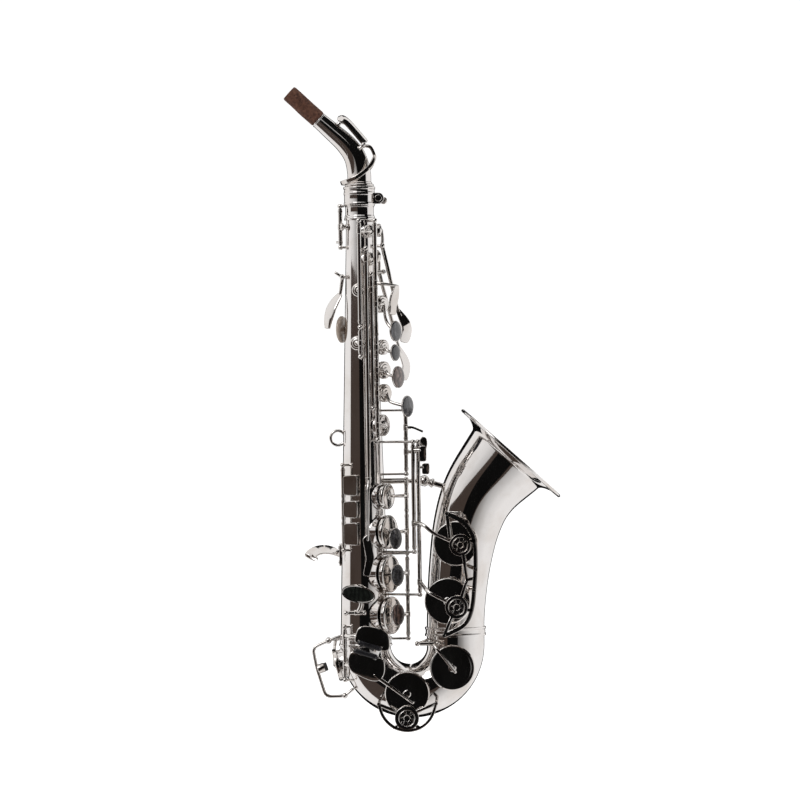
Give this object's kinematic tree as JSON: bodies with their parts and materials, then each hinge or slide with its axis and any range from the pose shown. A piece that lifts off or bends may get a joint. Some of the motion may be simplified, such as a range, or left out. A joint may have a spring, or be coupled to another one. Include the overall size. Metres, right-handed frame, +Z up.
{
  "type": "curved soprano saxophone",
  "caption": "Curved soprano saxophone, silver plated, without mouthpiece: conical body, bow and flared bell with working sprung keys, finger pearls and a swivelling neck.",
  "frame": {"origin": "centre of the neck-strap ring on the player's side of the body tube", "axes": "+Z up along the body tube, +X from the player towards the bell, -Y the instrument's right-hand face"},
  "size_m": [0.1902, 0.092, 0.4512],
  "materials": {
    "silver_tube": "brass, silver plated, mirror polished",
    "silver_keys": "nickel silver, silver plated, polished",
    "steel": "ground steel rod",
    "cork": "waxed cork, speckled",
    "pearl": "dark shell, polished",
    "thumb_rest_resin": "shell-like resin",
    "roller_resin": "polished black resin",
    "pad_leather": "dark brown pad leather",
    "felt": "black bumper felt",
    "spring_steel": "blued spring steel"
  },
  "bodies": {
    "instrument": {"body_tube": "silver_tube", "bow_tube": "silver_tube", "bell_tube": "silver_tube", "bell_rim": "silver_tube", "bow_rings": "silver_tube", "neck_receiver": "silver_tube", "key_posts": "silver_keys", "key_rods": "steel", "strap_ring": "silver_keys", "thumb_hook": "silver_keys", "thumb_rest": "thumb_rest_resin", "bell_brace": "silver_keys", "bell_key_guard": "silver_keys", "low_c_guard": "silver_keys", "low_c_sharp_guard": "silver_keys"},
    "neck": {"neck_tube": "silver_tube", "neck_cork": "cork", "neck_saddle": "silver_keys"},
    "octave_ring": {"neck_octave_key": "silver_keys"},
    "clamp_screw": {"neck_screw": "silver_keys"},
    "thumb_lever": {"octave_thumb_lever": "silver_keys"},
    "octave_pip": {"octave_pip_key": "silver_keys"},
    "palm_f": {"palm_f_key": "silver_keys"},
    "palm_eb": {"palm_eb_key": "silver_keys"},
    "palm_d": {"palm_d_key": "silver_keys"},
    "front_f": {"front_f_key": "silver_keys"},
    "b": {"b_key": "silver_keys", "b_pearl": "pearl"},
    "bis": {"bis_key": "silver_keys", "bis_pearl": "pearl"},
    "a": {"a_key": "silver_keys", "a_pearl": "pearl"},
    "g": {"g_key": "silver_keys", "g_pearl": "pearl"},
    "g_sharp": {"g_sharp_key": "silver_keys"},
    "f_sharp_cup": {"f_sharp_cup_key": "silver_keys"},
    "f": {"f_key": "silver_keys", "f_pearl": "pearl"},
    "e": {"e_key": "silver_keys", "e_pearl": "pearl"},
    "d": {"d_key": "silver_keys", "d_pearl": "pearl"},
    "high_e_cup": {"high_e_cup_key": "silver_keys"},
    "side_bb_cup": {"side_bb_cup_key": "silver_keys"},
    "side_c_cup": {"side_c_cup_key": "silver_keys"},
    "high_f_sharp": {"high_f_sharp_key": "silver_keys"},
    "high_e_touch": {"high_e_touch": "silver_keys"},
    "side_c_touch": {"side_c_touch": "silver_keys"},
    "side_bb_touch": {"side_bb_touch": "silver_keys"},
    "trill": {"trill_key": "silver_keys"},
    "low_eb_cup": {"low_eb_key": "silver_keys"},
    "eb_touch": {"eb_touch_lever": "silver_keys"},
    "low_c": {"low_c_key": "silver_keys"},
    "eb_roller": {"eb_roller": "roller_resin"},
    "c_roller": {"c_roller": "roller_resin"},
    "low_c_sharp_cup": {"low_c_sharp_key": "silver_keys"},
    "c_sharp_touch": {"c_sharp_touch": "silver_keys"},
    "g_sharp_touch": {"g_sharp_touch": "silver_keys"},
    "low_b": {"low_b_key": "silver_keys"},
    "low_bb": {"low_bb_key": "silver_keys"}
  },
  "joints": [
    {"name": "neck_turn", "type": "hinge", "parent": "instrument", "child": "neck", "pos_m": [0.0173, 0, 0.1756], "axis": [0, 0, 1], "range_deg": [-30, 30]},
    {"name": "neck_octave", "type": "hinge", "parent": "neck", "child": "octave_ring", "pos_m": [0.0206, 0, 0.2046], "axis": [0, 1, 0], "range_deg": [0, 4], "stiffness_Nm_per_rad": 0.03, "springref_deg": -14.32},
    {"name": "neck_screw_turn", "type": "hinge", "parent": "instrument", "child": "clamp_screw", "pos_m": [0.0306, 0, 0.1674], "axis": [0, 1, 0], "range_deg": [-180, 180]},
    {"name": "octave_thumb", "type": "hinge", "parent": "instrument", "child": "thumb_lever", "pos_m": [0.0046, 0, 0.1126], "axis": [0, -1, 0], "range_deg": [0, 5], "stiffness_Nm_per_rad": 0.03, "springref_deg": -14.32},
    {"name": "octave_pip_lift", "type": "hinge", "parent": "instrument", "child": "octave_pip", "pos_m": [0.0037, -0.003, 0.1475], "axis": [0, 0, -1], "range_deg": [0, 8], "stiffness_Nm_per_rad": 0.03, "springref_deg": -14.32},
    {"name": "palm_f_press", "type": "hinge", "parent": "instrument", "child": "palm_f", "pos_m": [0.03279, 0.00054, 0.134], "axis": [-0.0349, 0.9994, 0], "range_deg": [0, 6.25], "stiffness_Nm_per_rad": 0.03, "springref_deg": -14.32},
    {"name": "palm_eb_press", "type": "hinge", "parent": "instrument", "child": "palm_eb", "pos_m": [0.03024, 0.0094, 0.116], "axis": [-0.5878, 0.809, 0], "range_deg": [0, 6.25], "stiffness_Nm_per_rad": 0.03, "springref_deg": -14.32},
    {"name": "palm_d_press", "type": "hinge", "parent": "instrument", "child": "palm_d", "pos_m": [0.02017, 0.01625, 0.101], "axis": [-0.9848, 0.1736, 0], "range_deg": [0, 6.25], "stiffness_Nm_per_rad": 0.03, "springref_deg": -14.32},
    {"name": "front_f_press", "type": "hinge", "parent": "instrument", "child": "front_f", "pos_m": [0.0279, -0.0174, 0.12], "axis": [0, 0, 1], "range_deg": [0, 5], "stiffness_Nm_per_rad": 0.03, "springref_deg": -14.32},
    {"name": "b_press", "type": "hinge", "parent": "instrument", "child": "b", "pos_m": [0.0279, -0.0174, 0.088], "axis": [0, 0, 1], "range_deg": [0, 12.54], "stiffness_Nm_per_rad": 0.03, "springref_deg": -14.32},
    {"name": "bis_press", "type": "hinge", "parent": "instrument", "child": "bis", "pos_m": [0.0279, -0.0174, 0.0626], "axis": [0, 0, 1], "range_deg": [0, 12.54], "stiffness_Nm_per_rad": 0.03, "springref_deg": -14.32},
    {"name": "a_press", "type": "hinge", "parent": "instrument", "child": "a", "pos_m": [0.0279, -0.0174, 0.04665], "axis": [0, 0, 1], "range_deg": [0, 12.54], "stiffness_Nm_per_rad": 0.03, "springref_deg": -14.32},
    {"name": "g_press", "type": "hinge", "parent": "instrument", "child": "g", "pos_m": [0.0279, -0.0174, 0.028], "axis": [0, 0, 1], "range_deg": [0, 12.54], "stiffness_Nm_per_rad": 0.03, "springref_deg": -14.32},
    {"name": "g_sharp_press", "type": "hinge", "parent": "instrument", "child": "g_sharp", "pos_m": [0.0279, -0.0174, 0.009], "axis": [0, 0, -1], "range_deg": [0, 12.54], "stiffness_Nm_per_rad": 0.03, "springref_deg": -14.32},
    {"name": "f_sharp_cup_press", "type": "hinge", "parent": "instrument", "child": "f_sharp_cup", "pos_m": [0.0473, 0.0034, -0.04225], "axis": [0, 0, -1], "range_deg": [0, 5.73], "stiffness_Nm_per_rad": 0.03, "springref_deg": -14.32},
    {"name": "f_press", "type": "hinge", "parent": "instrument", "child": "f", "pos_m": [0.0473, 0.0034, -0.06635], "axis": [0, 0, -1], "range_deg": [0, 5.73], "stiffness_Nm_per_rad": 0.03, "springref_deg": -14.32},
    {"name": "e_press", "type": "hinge", "parent": "instrument", "child": "e", "pos_m": [0.0473, 0.0034, -0.0965], "axis": [0, 0, -1], "range_deg": [0, 5.73], "stiffness_Nm_per_rad": 0.03, "springref_deg": -14.32},
    {"name": "d_press", "type": "hinge", "parent": "instrument", "child": "d", "pos_m": [0.0473, 0.0034, -0.12435], "axis": [0, 0, -1], "range_deg": [0, 5.73], "stiffness_Nm_per_rad": 0.03, "springref_deg": -14.32},
    {"name": "high_e_cup_press", "type": "hinge", "parent": "instrument", "child": "high_e_cup", "pos_m": [0.0168, -0.021, 0.1143], "axis": [0, 0, -1], "range_deg": [0, 8.9], "stiffness_Nm_per_rad": 0.03, "springref_deg": -14.32},
    {"name": "side_bb_cup_press", "type": "hinge", "parent": "instrument", "child": "side_bb_cup", "pos_m": [0.0168, -0.021, 0.0666], "axis": [0, 0, 1], "range_deg": [0, 21.8], "stiffness_Nm_per_rad": 0.03, "springref_deg": -14.32},
    {"name": "side_c_cup_press", "type": "hinge", "parent": "instrument", "child": "side_c_cup", "pos_m": [0.0249, -0.0194, 0.06725], "axis": [0, 0, 1], "range_deg": [0, 9.9], "stiffness_Nm_per_rad": 0.03, "springref_deg": -14.32},
    {"name": "high_f_sharp_press", "type": "hinge", "parent": "instrument", "child": "high_f_sharp", "pos_m": [0.0214, -0.0206, 0.0488], "axis": [0, 0, -1], "range_deg": [0, 12.31], "stiffness_Nm_per_rad": 0.03, "springref_deg": -14.32},
    {"name": "high_e_touch_press", "type": "hinge", "parent": "instrument", "child": "high_e_touch", "pos_m": [0.0032, -0.0142, -0.0314], "axis": [0, 0, 1], "range_deg": [0, 8], "stiffness_Nm_per_rad": 0.03, "springref_deg": -14.32},
    {"name": "side_c_touch_press", "type": "hinge", "parent": "instrument", "child": "side_c_touch", "pos_m": [0.0032, -0.0142, -0.04995], "axis": [0, 0, 1], "range_deg": [0, 8], "stiffness_Nm_per_rad": 0.03, "springref_deg": -14.32},
    {"name": "side_bb_touch_press", "type": "hinge", "parent": "instrument", "child": "side_bb_touch", "pos_m": [0.0032, -0.0142, -0.06705], "axis": [0, 0, 1], "range_deg": [0, 8], "stiffness_Nm_per_rad": 0.03, "springref_deg": -14.32},
    {"name": "trill_press", "type": "hinge", "parent": "instrument", "child": "trill", "pos_m": [0.0105, -0.0212, -0.1216], "axis": [-1, 0, 0], "range_deg": [0, 8], "stiffness_Nm_per_rad": 0.03, "springref_deg": -14.32},
    {"name": "low_eb_open", "type": "hinge", "parent": "instrument", "child": "low_eb_cup", "pos_m": [0.0605, -0.021, -0.1436], "axis": [-1, 0, 0], "range_deg": [0, 8.81], "stiffness_Nm_per_rad": 0.03, "springref_deg": -14.32},
    {"name": "eb_touch_press", "type": "hinge", "parent": "instrument", "child": "eb_touch", "pos_m": [0.003, -0.0165, -0.14], "axis": [0, 0, 1], "range_deg": [0, 5], "stiffness_Nm_per_rad": 0.03, "springref_deg": -14.32},
    {"name": "low_c_press", "type": "hinge", "parent": "instrument", "child": "low_c", "pos_m": [0.003, -0.0165, -0.158], "axis": [0, 0, 1], "range_deg": [0, 4.21], "stiffness_Nm_per_rad": 0.03, "springref_deg": -14.32},
    {"name": "eb_roller_spin", "type": "hinge", "parent": "eb_touch", "child": "eb_roller", "pos_m": [0.02028, -0.0243, -0.14433], "axis": [0.9511, 0, -0.309], "continuous": true},
    {"name": "c_roller_spin", "type": "hinge", "parent": "low_c", "child": "c_roller", "pos_m": [0.01747, -0.02539, -0.14993], "axis": [0.9485, -0.0699, -0.309], "continuous": true},
    {"name": "low_c_sharp_open", "type": "hinge", "parent": "instrument", "child": "low_c_sharp_cup", "pos_m": [-0.0037, 0.0084, -0.1412], "axis": [0, 1, 0], "range_deg": [0, 8.09], "stiffness_Nm_per_rad": 0.03, "springref_deg": -14.32},
    {"name": "c_sharp_touch_press", "type": "hinge", "parent": "instrument", "child": "c_sharp_touch", "pos_m": [0.0475, -0.001, -0.012], "axis": [0, 0, 1], "range_deg": [0, 6], "stiffness_Nm_per_rad": 0.03, "springref_deg": -14.32},
    {"name": "g_sharp_touch_press", "type": "hinge", "parent": "instrument", "child": "g_sharp_touch", "pos_m": [0.0475, -0.001, 0.007], "axis": [0, 0, 1], "range_deg": [0, 6], "stiffness_Nm_per_rad": 0.03, "springref_deg": -14.32},
    {"name": "low_b_press", "type": "hinge", "parent": "instrument", "child": "low_b", "pos_m": [0.0523, -0.0195, -0.04], "axis": [0, 0, 1], "range_deg": [0, 6.17], "stiffness_Nm_per_rad": 0.03, "springref_deg": -14.32},
    {"name": "low_bb_press", "type": "hinge", "parent": "instrument", "child": "low_bb", "pos_m": [0.0558, -0.016, -0.05], "axis": [0, 0, 1], "range_deg": [0, 8.86], "stiffness_Nm_per_rad": 0.03, "springref_deg": -14.32}
  ],
  "couplings": [
    {"joint": "neck_octave", "follows": "octave_thumb", "ratio": 0.7999},
    {"joint": "high_e_cup_press", "follows": "high_e_touch_press", "ratio": 1.1123},
    {"joint": "side_c_cup_press", "follows": "side_c_touch_press", "ratio": 1.2371},
    {"joint": "side_bb_cup_press", "follows": "side_bb_touch_press", "ratio": 2.7244},
    {"joint": "low_eb_open", "follows": "eb_touch_press", "ratio": 1.7628},
    {"joint": "low_c_sharp_open", "follows": "c_sharp_touch_press", "ratio": 1.348},
    {"joint": "g_sharp_press", "follows": "g_sharp_touch_press", "ratio": 2.0896},
    {"joint": "f_sharp_cup_press", "follows": "f_press", "ratio": 0.9999}
  ]
}
